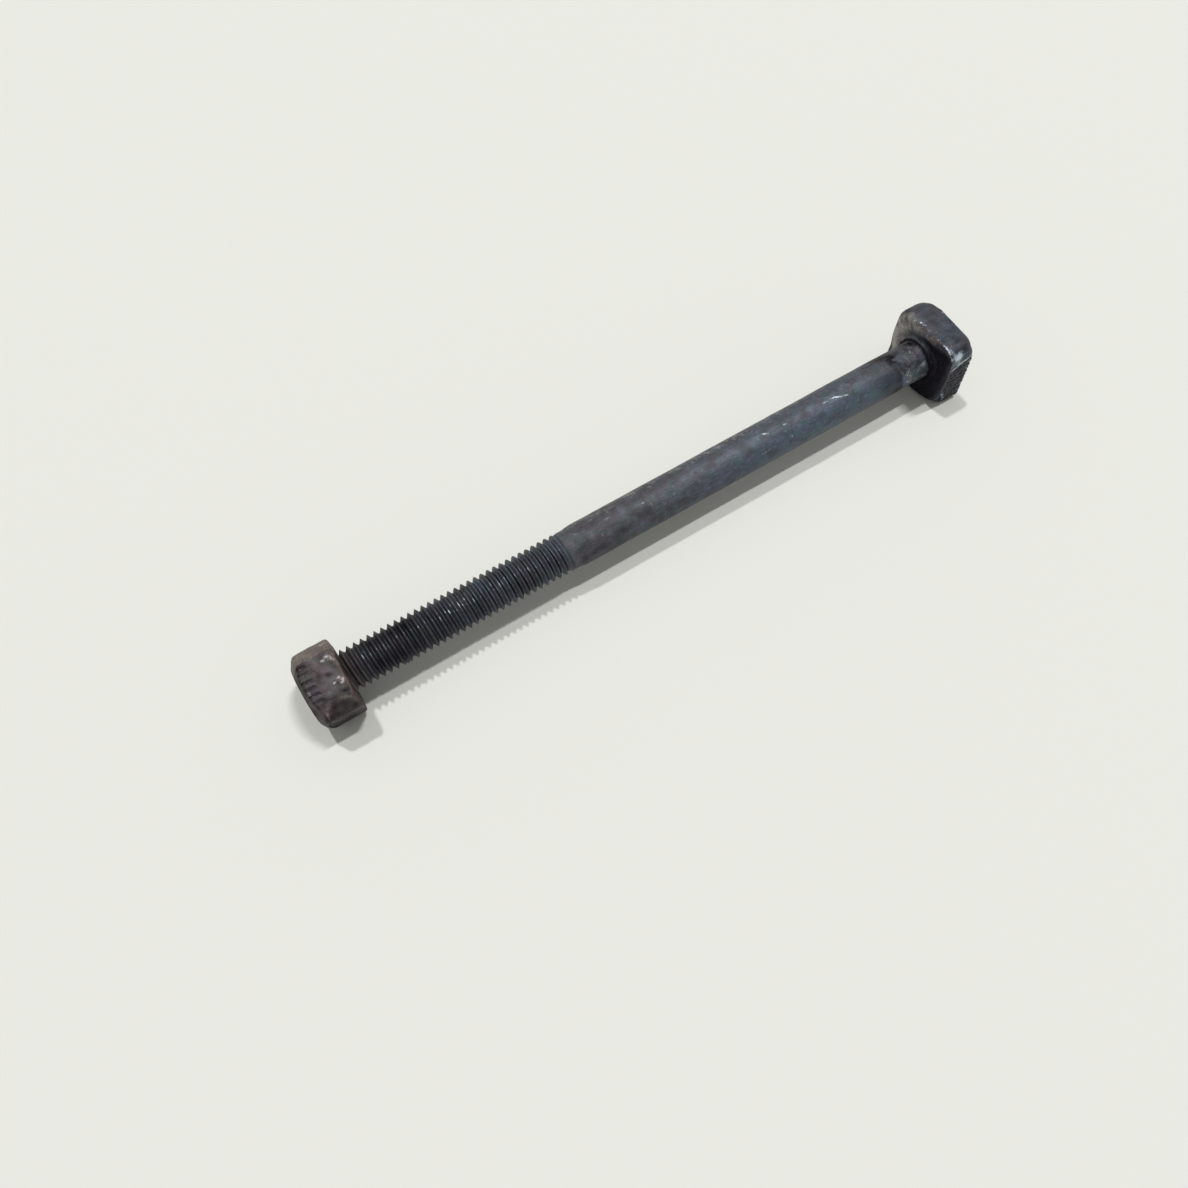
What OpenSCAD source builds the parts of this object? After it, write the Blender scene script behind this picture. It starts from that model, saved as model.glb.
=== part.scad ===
// Square head bolt, 3/8 inch coarse thread, with its square nut run on to the end.
// The bolt lies along X with its head at +X, on one flat of the head. The nut's corner is just clear.
// The origin is on the surface below, half way along. All sizes are in millimetres.

/* [Bolt] */
// Length of the bolt under its head
bolt_len = 160.5; // [90:0.5:260]
// Diameter of the plain shank
shank_d = 9.525; // [7:0.005:12]
// Diameter over the crests of the thread, which is drawn as a plain cylinder
thread_d = 9.4; // [7:0.05:12]
// Length from the tip to the end of the thread
thread_len = 63.5; // [30:0.5:80]
// Length of the rounded shoulder between thread and shank
shoulder_len = 2.4; // [1:0.1:6]
// Depth of the bevel round the tip
tip_bevel = 1.1; // [0.3:0.1:2]
// Radius of the fillet between shank and head
neck_fillet = 0.7; // [0.3:0.1:1.5]

/* [Head] */
// Size of the head across its flats
head_flats = 19.05; // [16:0.05:26]
// Thickness of the head
head_h = 7.7; // [5:0.1:12]
// Radius of the head's four upright corners
head_corner_r = 3.2; // [2:0.1:5]
// Rounding of the edges round both faces of the head
head_edge_r = 1.5; // [0.5:0.1:1.9]

/* [Nut] */
// Size of the nut across its flats
nut_flats = 15.875; // [14:0.005:22]
// Thickness of the nut
nut_h = 9.525; // [6:0.005:14]
// Radius of the nut's four corners
nut_corner_r = 3.1; // [1.5:0.1:4.5]
// Angle of the turned chamfers, measured from the faces of the nut
chamfer_angle = 30; // [15:1:40]
// Diameter of the flat circle left on the outer face
outer_face_d = 12.9; // [12.5:0.1:15]
// Diameter of the circle in which the corners of the bearing face lie
bearing_face_d = 17.4; // [13:0.1:18.6]
// Gap all round between the crests of the thread and the nut's bore
bore_gap = 0.08; // [0.05:0.01:0.1]
// Depth of the countersink at each mouth of the bore
countersink = 0.5; // [0.2:0.1:0.8]
// Turn of the nut on the bolt, away from the head's flats
nut_turn = 17.5; // [0:0.5:90]
// Distance from the outer face of the nut in to the tip of the bolt
tip_inset = 0.4; // [0:0.1:2]

/* [Hidden] */

$fn = 96;
cut_over = 1;

// Places along X
overall_len = tip_inset + bolt_len + head_h;
nut_x = -overall_len / 2;
tip_x = nut_x + tip_inset;
head_x = tip_x + bolt_len;

// The nut's lowest corner or the head's flat carries the axis, whichever reaches further out
nut_core = nut_flats / 2 - nut_corner_r;
nut_reach = nut_core * (cos(nut_turn) + sin(nut_turn)) + nut_corner_r;
axis_z = max(head_flats / 2, nut_reach);

// Turned radii
shank_r = shank_d / 2;
thread_r = thread_d / 2;
bore_r = thread_r + bore_gap;

// Lays a shape that was drawn up the Z axis along X, starting at x
module along_x(x) {
    translate([x, 0, axis_z]) rotate([0, 90, 0]) children();
}

// A rectangle with round corners, centred on the origin
module round_rect(w, h, r) {
    square([w - 2 * r, h], center = true);
    square([w, h - 2 * r], center = true);
    for (sx = [-1, 1], sy = [-1, 1])
        translate([sx * (w / 2 - r), sy * (h / 2 - r)]) circle(r);
}

// Slab of the head's side outline, with round edges, as deep as the head is wide
module head_side_slab() {
    translate([0, 0, head_h / 2]) rotate([90, 0, 0])
        linear_extrude(head_flats + 2 * cut_over, center = true)
            round_rect(head_flats, head_h, head_edge_r);
}

// The forged square head, bearing face down at z = 0
module head_block() {
    intersection() {
        linear_extrude(head_h) round_rect(head_flats, head_flats, head_corner_r);
        head_side_slab();
        rotate([0, 0, 90]) head_side_slab();
    }
}

// Half outline of everything turned: tip, thread, shoulder, shank and neck
module shaft_outline() {
    shoulder_z = thread_len + shoulder_len;
    polygon([
        [0, 0],
        [thread_r - tip_bevel, 0],
        [thread_r, tip_bevel],
        [thread_r, thread_len],
        [shank_r, shoulder_z],
        [shank_r, bolt_len + cut_over],
        [0, bolt_len + cut_over]
    ]);
    translate([0, bolt_len - neck_fillet]) difference() {
        square([shank_r + neck_fillet, neck_fillet + cut_over]);
        translate([shank_r + neck_fillet, 0]) circle(neck_fillet);
    }
}

module bolt() {
    color("darkslategray") along_x(tip_x) {
        rotate_extrude() shaft_outline();
        translate([0, 0, bolt_len]) head_block();
    }
}

// Turned blank of the nut: two cones that cut its four corners back
module nut_blank() {
    widening = nut_h / tan(chamfer_angle);
    outer_r = outer_face_d / 2;
    bearing_r = bearing_face_d / 2;
    intersection() {
        cylinder(h = nut_h, r1 = outer_r, r2 = outer_r + widening);
        cylinder(h = nut_h, r1 = bearing_r + widening, r2 = bearing_r);
    }
}

// Bore with a countersink at both mouths
module nut_bore() {
    translate([0, 0, -cut_over]) cylinder(h = nut_h + 2 * cut_over, r = bore_r);
    for (end = [0, 1]) mirror([0, 0, end]) translate([0, 0, -end * nut_h])
        translate([0, 0, -cut_over])
            cylinder(h = countersink + cut_over, r1 = bore_r + countersink + cut_over, r2 = bore_r);
}

module nut() {
    color("dimgray") along_x(nut_x) rotate([0, 0, nut_turn]) difference() {
        intersection() {
            linear_extrude(nut_h) round_rect(nut_flats, nut_flats, nut_corner_r);
            nut_blank();
        }
        nut_bore();
    }
}

bolt();
nut();
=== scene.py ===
# %% [markdown]
# # A square head bolt and its square nut
#
# The object is one long bolt, forged and then rolled, with a square nut run on to its end.
# It lies on a pale sheet, on one flat of its head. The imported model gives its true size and
# place, so the first step loads it and measures it. All the shapes below are worked out in
# millimetres and turned into metres only when they become meshes.

import math

import bpy
import numpy as np
from mathutils import Matrix, Vector


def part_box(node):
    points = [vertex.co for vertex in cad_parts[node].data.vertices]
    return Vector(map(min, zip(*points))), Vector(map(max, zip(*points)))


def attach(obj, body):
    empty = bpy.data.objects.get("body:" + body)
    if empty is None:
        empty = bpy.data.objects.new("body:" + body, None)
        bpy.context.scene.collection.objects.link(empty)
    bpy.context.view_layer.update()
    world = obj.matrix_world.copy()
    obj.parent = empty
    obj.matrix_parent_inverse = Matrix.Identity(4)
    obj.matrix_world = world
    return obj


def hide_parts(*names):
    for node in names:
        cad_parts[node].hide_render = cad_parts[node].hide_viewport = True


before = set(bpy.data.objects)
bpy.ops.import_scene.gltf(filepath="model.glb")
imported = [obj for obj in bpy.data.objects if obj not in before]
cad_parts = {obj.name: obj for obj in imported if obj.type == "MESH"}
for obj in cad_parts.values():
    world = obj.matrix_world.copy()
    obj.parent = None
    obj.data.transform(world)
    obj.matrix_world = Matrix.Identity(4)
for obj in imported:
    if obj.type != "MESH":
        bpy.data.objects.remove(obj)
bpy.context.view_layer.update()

MM = 0.001
bolt_low, bolt_high = (np.array(corner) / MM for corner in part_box("bolt"))
nut_low, nut_high = (np.array(corner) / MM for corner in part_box("nut"))

TIP_X = bolt_low[0]
HEAD_OUT_X = bolt_high[0]
NUT_OUT_X = nut_low[0]
NUT_IN_X = nut_high[0]
HEAD_FLATS = bolt_high[1] - bolt_low[1]
AXIS_Z = bolt_low[2] + HEAD_FLATS / 2
print(f"bolt from x {TIP_X:.2f} to {HEAD_OUT_X:.2f} mm, axis {AXIS_Z:.3f} mm up")
print(f"nut from x {NUT_OUT_X:.2f} to {NUT_IN_X:.2f} mm, head {HEAD_FLATS:.2f} mm across")

# %% [markdown]
# ## The sheet, the lamps and the camera
#
# The bolt was set down on a plain pale sheet, under two lamps that hang almost straight above
# it. A floor that is simply a large disc does for the sheet. The lamps are small, because the
# edges of the shadows are fairly crisp, and there are two of them, because the shadow in front
# of the shank has two steps. One is a tube that lies along the bolt, a little to the head's side,
# so its shadows are soft only in that direction. The other is small and stands behind.
#
# The camera hangs only 22 cm away, above the front and on the nut's side, looks down steeply and
# is tilted by five degrees. So close, perspective shows plainly: the near end is drawn larger. The
# camera's place decides that, and its lens only decides how much of the sheet is seen.

# %% The pale sheet
def plain_material(name, colour, roughness):
    """A material of one colour, for what isn't part of the object."""
    material = bpy.data.materials.new(name)
    material.use_nodes = True
    shader = material.node_tree.nodes["Principled BSDF"]
    shader.inputs["Base Color"].default_value = (*colour, 1)
    shader.inputs["Roughness"].default_value = roughness
    return material


SHEET_COLOUR = (0.845, 0.85, 0.80)
SHEET_RADIUS = 1.2
SHEET_CORNERS = 96
corner_angle = np.linspace(0, 2 * np.pi, SHEET_CORNERS, endpoint=False)
rim = np.stack([np.cos(corner_angle), np.sin(corner_angle), 0 * corner_angle], 1) * SHEET_RADIUS
sheet_mesh = bpy.data.meshes.new("pale_sheet")
sheet_mesh.from_pydata(rim.tolist(), [], [list(range(SHEET_CORNERS))])
pale_sheet = bpy.data.objects.new("pale_sheet", sheet_mesh)
bpy.context.scene.collection.objects.link(pale_sheet)
sheet_mesh.materials.append(plain_material("pale sheet", SHEET_COLOUR, 0.9))
print("sheet", SHEET_RADIUS, "m in radius")

# %% Two lamps overhead
LAMP_DISTANCE = 12


def hang_lamp(name, lean_x, lean_y, share, length, width):
    """A flat lamp that leans from straight overhead by lean_x towards the head and lean_y towards
    the back, in degrees. It is length by width degrees large as the bolt sees it, with its length
    along the bolt. share is the part of a white sheet's brightness that it gives."""
    lamp = bpy.data.lights.new(name, "AREA")
    lamp.shape = "RECTANGLE"
    lamp.size = LAMP_DISTANCE * math.radians(length)
    lamp.size_y = LAMP_DISTANCE * math.radians(width)
    lamp.energy = share * math.pi**2 * LAMP_DISTANCE**2
    outward = Vector((math.tan(math.radians(lean_x)), math.tan(math.radians(lean_y)), 1)).normalized()
    along = Vector((1, 0, 0))
    along = (along - outward * along.dot(outward)).normalized()
    holder = bpy.data.objects.new(name, lamp)
    holder.location = outward * LAMP_DISTANCE
    holder.rotation_mode = "QUATERNION"
    holder.rotation_quaternion = Matrix((along, outward.cross(along), outward)).transposed().to_quaternion()
    bpy.context.scene.collection.objects.link(holder)
    return holder


hang_lamp("lamp_head_side", 17, -3, 0.37, 9, 2)
hang_lamp("lamp_behind", -3, 13, 0.33, 3, 2.5)
print("two lamps", LAMP_DISTANCE, "m away")

# %% The light of the room
AMBIENT = 0.29
BACKGROUND = 0.84
world = bpy.data.worlds.new("room")
bpy.context.scene.world = world
world.use_nodes = True
room = world.node_tree
room_light = room.nodes["Background"]
room_light.inputs["Color"].default_value = (1.0, 1.0, 0.97, 1)
paths = room.nodes.new("ShaderNodeLightPath")
seen = paths.outputs["Is Camera Ray"]
for ray in ("Is Glossy Ray", "Is Transmission Ray"):
    either = room.nodes.new("ShaderNodeMath")
    either.operation = "MAXIMUM"
    room.links.new(seen, either.inputs[0])
    room.links.new(paths.outputs[ray], either.inputs[1])
    seen = either.outputs[0]
strength = room.nodes.new("ShaderNodeMapRange")
strength.inputs["To Min"].default_value = AMBIENT
strength.inputs["To Max"].default_value = BACKGROUND
room.links.new(seen, strength.inputs["Value"])
room.links.new(strength.outputs["Result"], room_light.inputs["Strength"])
bpy.context.scene.view_settings.view_transform = "Standard"
print("room light", AMBIENT, "of a white sheet, pale background", BACKGROUND)

# %% The camera
CAMERA_PLACE = Vector((-0.06579, -0.09989, 0.19546))
LOOKS_AT = Vector((-0.01940, -0.00791, 0.0))
CAMERA_ROLL = math.radians(-5.42)
FOCAL_LENGTH = 29.77

camera_data = bpy.data.cameras.new("camera")
camera_data.sensor_width = 36
camera_data.lens = FOCAL_LENGTH
camera_data.clip_start = 0.01
camera_data.clip_end = 20
camera = bpy.data.objects.new("camera", camera_data)
camera.location = CAMERA_PLACE
camera.rotation_mode = "QUATERNION"
level_look = (LOOKS_AT - CAMERA_PLACE).to_track_quat("-Z", "Y")
camera.rotation_quaternion = (level_look.to_matrix() @ Matrix.Rotation(CAMERA_ROLL, 3, "Z")).to_quaternion()
bpy.context.scene.collection.objects.link(camera)
bpy.context.scene.camera = camera
print("camera", round((LOOKS_AT - CAMERA_PLACE).length, 3), "m from where it looks")

# %% [markdown]
# ## How a turned or forged surface is written down
#
# Every surface here goes round the bolt's axis, so a point is given by three numbers: its place
# along the axis, its distance from the axis, and its angle round it. The angle starts straight
# up and grows towards the front. A surface is then a stack of rings of points, and the faces
# between two rings follow from counting. This is how a lathe or a thread roller sees a bolt,
# and it gives clean edges that run the way the real ones do.

# %% From axis measures to points
def place(x, radius, angle):
    """Points from measures round the axis: sideways is minus radius times the sine of the
    angle, and height is the axis' height plus radius times its cosine."""
    x, radius, angle = np.broadcast_arrays(x, radius, angle)
    return np.stack([x, -radius * np.sin(angle), AXIS_Z + radius * np.cos(angle)], -1)


def lumps(points, size, seed, waves=28):
    """Smooth unevenness, mostly between -1 and 1: the sum of cosines that run in random
    directions, with wavelengths near size in mm, over the root of half their number."""
    rng = np.random.default_rng(seed)
    direction = rng.normal(size=(waves, 3))
    direction /= np.linalg.norm(direction, axis=1, keepdims=True)
    wavelength = size * rng.uniform(0.7, 1.7, waves)
    phase = rng.uniform(0, 2 * np.pi, waves)
    turns = points @ (direction * (2 * np.pi / wavelength)[:, None]).T + phase
    return np.cos(turns).sum(-1) / math.sqrt(waves / 2)


def smooth_step(value, start, end):
    """0 before start and 1 after end, with a soft S between: 3 t squared minus 2 t cubed."""
    t = np.clip((value - start) / (end - start), 0, 1)
    return t * t * (3 - 2 * t)


def fall_off(value, start, end):
    """1 before start and 0 after end: one minus the smooth step."""
    return 1 - smooth_step(value, start, end)


def between(value, start, full, fading, end):
    """1 between full and fading, and 0 before start and after end, with a soft S on each side."""
    return smooth_step(value, start, full) * fall_off(value, fading, end)


def bell(value, centre, width):
    """1 at the centre, falling off evenly: e to the minus squared distance over the width."""
    return np.exp(-(((value - centre) / width) ** 2))


def angle_gap(angle, centre_degrees):
    """Smallest turn between an angle in radians and a direction in degrees, in degrees."""
    return np.abs((np.degrees(angle) - centre_degrees + 180) % 360 - 180)


# %% A skin that is built ring by ring
class Skin:
    """The points and faces of one closed surface, collected ring by ring.

    Rings run round the axis with growing angle, and each new ring follows the last one in the
    direction that keeps the metal inside. Faces are kept as rows of four point numbers, and a
    three-sided face repeats its last one."""

    def __init__(self):
        self.points = []
        self.faces = []
        self.count = 0

    def add(self, points):
        """Takes a block of points and gives back their numbers in the same shape."""
        points = np.asarray(points, float)
        numbers = self.count + np.arange(points[..., 0].size).reshape(points.shape[:-1])
        self.points.append(points.reshape(-1, 3))
        self.count += numbers.size
        return numbers

    def quads(self, a, b, c, d):
        """One four-sided face for each place in four arrays of point numbers."""
        self.faces.append(np.stack([x.ravel() for x in (a, b, c, d)], 1))

    def join(self, first, then):
        """Faces between two rings. They have as many points, or one has twice as many."""
        if len(then) == 2 * len(first):
            near, far, middle = first, then[0::2], then[1::2]
            near_on, far_on = np.roll(near, -1), np.roll(far, -1)
            self.quads(near, middle, far, far)
            self.quads(near, near_on, middle, middle)
            self.quads(near_on, far_on, middle, middle)
        elif len(first) == 2 * len(then):
            far, near, middle = then, first[0::2], first[1::2]
            far_on, near_on = np.roll(far, -1), np.roll(near, -1)
            self.quads(near, middle, far, far)
            self.quads(middle, far_on, far, far)
            self.quads(middle, near_on, far_on, far_on)
        else:
            self.quads(first, np.roll(first, -1), np.roll(then, -1), then)

    def join_all(self, rings):
        """Faces between each pair of neighbouring rows of a table of point numbers."""
        for first, then in zip(rings[:-1], rings[1:]):
            self.join(first, then)

    def close(self, ring, middle, first):
        """Fans a ring shut at a point on the axis. first says that the point comes first."""
        number = self.add(np.asarray(middle, float)[None])[0]
        middle_numbers = np.full(len(ring), number)
        ring_on = np.roll(ring, -1)
        if first:
            self.quads(middle_numbers, ring_on, ring, ring)
        else:
            self.quads(ring, ring_on, middle_numbers, middle_numbers)

    def to_object(self, name):
        """The mesh object, with unused points left out and repeated corners dropped."""
        points = np.concatenate(self.points)
        faces = np.concatenate(self.faces)
        used, numbers = np.unique(faces, return_inverse=True)
        faces = numbers.reshape(faces.shape)
        points = points[used]
        distinct = faces != np.roll(faces, 1, 1)
        sides = distinct.sum(1)
        mesh = bpy.data.meshes.new(name)
        lists = faces[sides == 4].tolist()
        threes = faces[sides == 3][distinct[sides == 3]].reshape(-1, 3).tolist()
        mesh.from_pydata((points * MM).tolist(), [], lists + threes)
        mesh.update()
        mesh.shade_smooth()
        piece = bpy.data.objects.new(name, mesh)
        bpy.context.scene.collection.objects.link(piece)
        triangles = 2 * len(lists) + len(threes)
        print(f"{name}: {len(points)} points, {triangles} triangles")
        return piece, points


# %% [markdown]
# ## The outline of a square with round corners
#
# Head and nut are both squares whose corners are worn or forged round. The outline is walked
# at an even pace, so that a corner gets as many points as a flat of the same length. The bolt's
# thread and shank use every fourth of the head's directions, so rings can be joined without
# any gap.

# %% Walking round the outline
def square_outline(flats, corner_radii, facets, count):
    """Distance from the axis and angle round it, for points along a square with round corners.

    Each quarter is half a flat, a bend and half a flat, and gets the same number of points, at
    an even pace. corner_radii are those of the front top, front bottom, back bottom and back top
    corners. facets say how far each bend lies from its quarter circle towards the chord."""
    step = np.arange(count) * 4 / count
    quarter = np.floor(step).astype(int)
    corner_r = np.array(corner_radii, float)[quarter]
    facet = np.array(facets, float)[quarter]
    core = flats / 2 - corner_r
    arc = math.pi * corner_r / 2
    along = (step - quarter) * (2 * core + arc)
    bend = np.clip((along - core) / corner_r, 0, math.pi / 2)
    chord = bend / (math.pi / 2)
    sideways = np.minimum(along, core) + corner_r * ((1 - facet) * np.sin(bend) + facet * chord)
    outward = core + corner_r * ((1 - facet) * np.cos(bend) + facet * (1 - chord))
    outward = outward - np.maximum(along - core - arc, 0)
    turn = quarter * math.pi / 2
    front = np.cos(turn) * sideways + np.sin(turn) * outward
    up = np.cos(turn) * outward - np.sin(turn) * sideways
    return np.hypot(front, up), np.unwrap(np.arctan2(front, up))


HEAD_CORNER_RADII = (3.0, 1.7, 3.0, 4.3)
HEAD_COLUMNS = 384
head_outline_r, head_angle = square_outline(HEAD_FLATS, HEAD_CORNER_RADII, (0, 0, 0, 0), HEAD_COLUMNS)
shank_angle = head_angle[::4]
print("head reaches", round(head_outline_r.max(), 2), "mm from the axis at its corners")

# %% [markdown]
# ## The thread
#
# The thread is a coarse one with sixteen turns to the inch, rolled into a slightly thin blank.
# Its rows of points follow the helix instead of lying in rings, so that each crest is one
# unbroken line. At both ends the rows are cut off square by sliding the points that would go
# past the end on to it. A profile wound up by a modifier would do for a clean thread, but this
# one's depth changes from place to place with wear and dirt, and a formula gives that at no cost.
# The nut's own thread uses the same rule with a little more room, which is why the nut can stand
# anywhere a whole number of turns away.

# %% Where the crests lie
PITCH = 25.4 / 16
CREST_X = -71.985
CREST_ANGLE = math.radians(-61.8)
FLANK = math.tan(math.radians(30))
CREST_R = 4.70
ROOT_R = 3.79
SHARP_R = CREST_R + 0.09 / FLANK


def past_crest(x, angle):
    """How far a point lies past the nearest crest along the axis, which moves on by one pitch
    each turn. It runs from minus half a pitch to half a pitch."""
    turns = (x - CREST_X) / PITCH - (angle - CREST_ANGLE) / (2 * math.pi)
    return (turns - np.round(turns)) * PITCH


def soft_floor(value, floor, softness):
    """The larger of value and floor, with the corner between them rounded."""
    gap = value - floor
    return floor + (gap + np.sqrt(gap * gap + softness * softness)) / 2


def helix_rows(angle, x_from, x_to, offsets):
    """x of points on rows that follow the thread, cut off at x_from and x_to, with the number
    of the last row on the first cut and the first row on the second, for each column."""
    turn = (angle - CREST_ANGLE) / (2 * math.pi)
    first = math.floor((x_from - CREST_X) / PITCH - turn.max()) - 2
    last = math.ceil((x_to - CREST_X) / PITCH - turn.min()) + 2
    steps = (np.arange(first, last)[:, None] + np.array(offsets)[None, :] / PITCH).ravel()
    x = CREST_X + PITCH * (steps[:, None] + turn[None, :])
    start = (x <= x_from).sum(0) - 1
    end = (x < x_to).sum(0)
    return np.clip(x, x_from, x_to), start, end


def add_thread(skin, angle, x_from, x_to, offsets, radius_at, inside):
    """Adds a thread's surface and gives back the rings of point numbers at its two ends."""
    x, start, end = helix_rows(angle, x_from, x_to, offsets)
    numbers = skin.add(place(x, radius_at(x, angle[None, :]), angle[None, :]))
    rows, columns = x.shape
    column = np.arange(columns)
    row = np.arange(rows - 1)[:, None]
    on = np.roll(column, -1)
    wrap = np.where(on == 0, len(offsets), 0)

    def number(at_row, at_column):
        return numbers[np.clip(at_row, start[at_column], end[at_column]), at_column]

    near = number(row, column)
    near_on = number(row + wrap, on)
    far_on = number(row + 1 + wrap, on)
    far = number(row + 1, column)
    corners = (near, far, far_on, near_on) if inside else (near, near_on, far_on, far)
    faces = np.stack([c.ravel() for c in corners], 1)
    skin.faces.append(faces[(faces != np.roll(faces, 1, 1)).sum(1) >= 3])
    return number(start, column), number(end, column)


# %% [markdown]
# ## The bolt
#
# One bar of steel becomes the whole bolt, so one closed skin does too: a bevelled tip, the
# thread, a short rounded shoulder where the rolled blank meets the full shank, the shank, a
# crease where the forging die met it, and the square head. The head isn't a clean block. A
# shallow bevel cuts its inner face away, wide at the back, deep at the front bottom corner and
# almost gone at the front top one. Its outer edges are pillowed, and its front flat is scored by
# the jaws of a wrench. A block merely set against a rod would show a seam where the fillet is.

# %% Radius of the bolt along the thread
TIP_BEVEL = 1.1
BLANK_R = 4.47
THREAD_END_X = -19.9
RUN_OUT = (-23.9, -21.2)
DEEPEST_NICK = 0.16
thread_offsets = [0, 0.075, 0.15, 0.33, 0.54, 0.65, 0.79375]
thread_offsets += [PITCH - d for d in thread_offsets[-2:0:-1]]


def bolt_thread_radius(x, angle):
    """The 60 degree thread: from its sharp edge the radius falls by the distance from the crest
    over tan 30. Crest and root are rounded, the bevel cuts the tip, and grime fills a few roots."""
    worn = 0.055 + 0.055 * smooth_step(x, -72, -30)
    gap = past_crest(x, angle)
    thread = SHARP_R - np.sqrt(gap * gap + worn * worn) / FLANK
    thread = soft_floor(thread, ROOT_R, 0.10)
    points = place(x, CREST_R, angle)
    nicks = np.clip(lumps(points, 2.6, 11) - 1.15, 0, 1)
    thread = thread - DEEPEST_NICK * nicks * smooth_step(thread, 4.3, 4.7)
    grime = np.clip(lumps(points, 5.5, 12) - 1.25, 0, 0.6) * smooth_step(x, -73, -71)
    clog = bell(x, -62.4, 0.8) * bell(angle_gap(angle, 118), 0, 34)
    filled = ROOT_R + 0.2 * grime + 0.85 * clog
    thread = np.maximum(thread, np.minimum(filled, CREST_R - 0.05))
    fade = smooth_step(x, *RUN_OUT)
    thread = thread * (1 - fade) + BLANK_R * fade
    return np.minimum(thread, CREST_R - TIP_BEVEL + (x - TIP_X))


# %% Tip and thread
bolt_skin = Skin()
tip_ring, thread_end_ring = add_thread(
    bolt_skin, shank_angle, TIP_X, THREAD_END_X, thread_offsets, bolt_thread_radius, False
)
tip_radius = np.linspace(0.4, 3.4, 10)[:, None]
tip_face = place(TIP_X, tip_radius, shank_angle[None, :])
tip_face[..., 0] += 0.07 * (1.1 + lumps(tip_face, 1.8, 13)).clip(0) * fall_off(tip_radius, 2.9, 3.5)
tip_rings = bolt_skin.add(tip_face)
bolt_skin.close(tip_rings[0], (TIP_X, 0, AXIS_Z), True)
bolt_skin.join_all(tip_rings)
bolt_skin.join(tip_rings[-1], tip_ring)
print("thread turns", round((THREAD_END_X - TIP_X) / PITCH, 1))

# %% Shoulder, shank and the start of the neck
NECK_X = 67.0
HEAD_THICKNESS = 7.7
HEAD_IN_X = HEAD_OUT_X - HEAD_THICKNESS
SHANK_R = 4.7625


def neck_line(angle):
    """Where the forging die gripped the bar: a ring that slants by a sine, most at the front."""
    return NECK_X + 0.6 + 1.3 * np.sin(angle - math.radians(5))


def shank_radius(x, angle):
    """The plain part: it swells from the blank over the shoulder, thickens by a hair towards
    the head, and steps in a little at the ring where the forging die gripped it."""
    shoulder = smooth_step(x, THREAD_END_X - 0.6, -17.9)
    radius = BLANK_R + (SHANK_R - 0.03 - BLANK_R) * shoulder
    radius = radius + 0.06 * smooth_step(x, -10, 60)
    points = place(x, SHANK_R, angle)
    uneven = 0.012 * lumps(points, 7, 21) + 0.008 * lumps(points, 2.2, 22)
    ring = bell(x, neck_line(angle), 0.8)
    neck = 0.05 * smooth_step(x - neck_line(angle), 0, 1.5)
    return radius + uneven * shoulder - 0.04 * ring - neck


shank_x = np.concatenate([
    np.arange(THREAD_END_X + 0.3, -16.0, 0.3),
    np.arange(-15.5, NECK_X - 2, 0.75),
    np.arange(NECK_X - 2, HEAD_IN_X - 2.6, 0.25),
])


def shank_points(x, angle):
    """A block of points on the plain part, with a ring for each x."""
    return place(x[:, None], shank_radius(x[:, None], angle), angle)


shank_rings = bolt_skin.add(shank_points(shank_x, shank_angle))
bolt_skin.join(thread_end_ring, shank_rings[0])
bolt_skin.join_all(shank_rings)
print("shank rings", len(shank_x))

# %% A profile with rounded corners, for every direction at once
def rounded_profile(corners, rounding, bend_steps, run_steps):
    """Rows of (x, radius) along a bent line, for all columns together.

    corners is (corner, column, 2). At each inner corner B, between A and C, the line follows
    the curve (1-t)^2 P + 2t(1-t) B + t^2 Q, where P and Q lie rounding away from B towards A
    and C. run_steps gives how many rows lie on each straight run between the curves."""
    before = corners[:-2] - corners[1:-1]
    after = corners[2:] - corners[1:-1]
    before = before / np.linalg.norm(before, axis=-1, keepdims=True)
    after = after / np.linalg.norm(after, axis=-1, keepdims=True)
    bend_in = corners[1:-1] + rounding[..., None] * before
    bend_out = corners[1:-1] + rounding[..., None] * after
    t = np.linspace(0, 1, bend_steps)[:, None, None]
    rows = []
    previous = corners[0]
    for k in range(len(bend_in)):
        run = np.linspace(0, 1, run_steps[k], endpoint=False)[:, None, None]
        rows.append(previous + run * (bend_in[k] - previous))
        bend = (1 - t) ** 2 * bend_in[k] + 2 * t * (1 - t) * corners[k + 1] + t**2 * bend_out[k]
        rows.append(bend)
        previous = bend_out[k]
    run = np.linspace(0, 1, run_steps[-1])[1:, None, None]
    rows.append(previous + run * (corners[-1] - previous))
    table = np.concatenate(rows)
    return table[..., 0], table[..., 1]


# %% The head's profile in each direction
def by_angle(angle, directions, values):
    """Values given at some directions in degrees, with straight lines between, for any angle."""
    return np.interp(np.degrees(angle), directions, values, period=360)


def edge_drop(angle):
    """How far the inner face has fallen away at its edge, in mm along the axis."""
    directions = [-135, -115, -90, -60, -31, -23, -11, 8, 28, 45, 62, 90, 112, 128, 138, 150, 162, 180]
    drop = [0.8, 1.3, 0.6, 0.3, 0.15, 0.28, 0.6, 0.69, 0.47, 0.25, 0.35, 0.6, 0.9, 2.1, 2.6, 1.5, 0.9, 0.8]
    return by_angle(angle, directions, drop)


def bend_table(bends, columns):
    """The bends of a profile as one table of (x, radius), with a column for each direction."""
    one = np.ones(columns)
    return np.stack([np.stack([x * one, r * one], -1) for x, r in bends])


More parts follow.
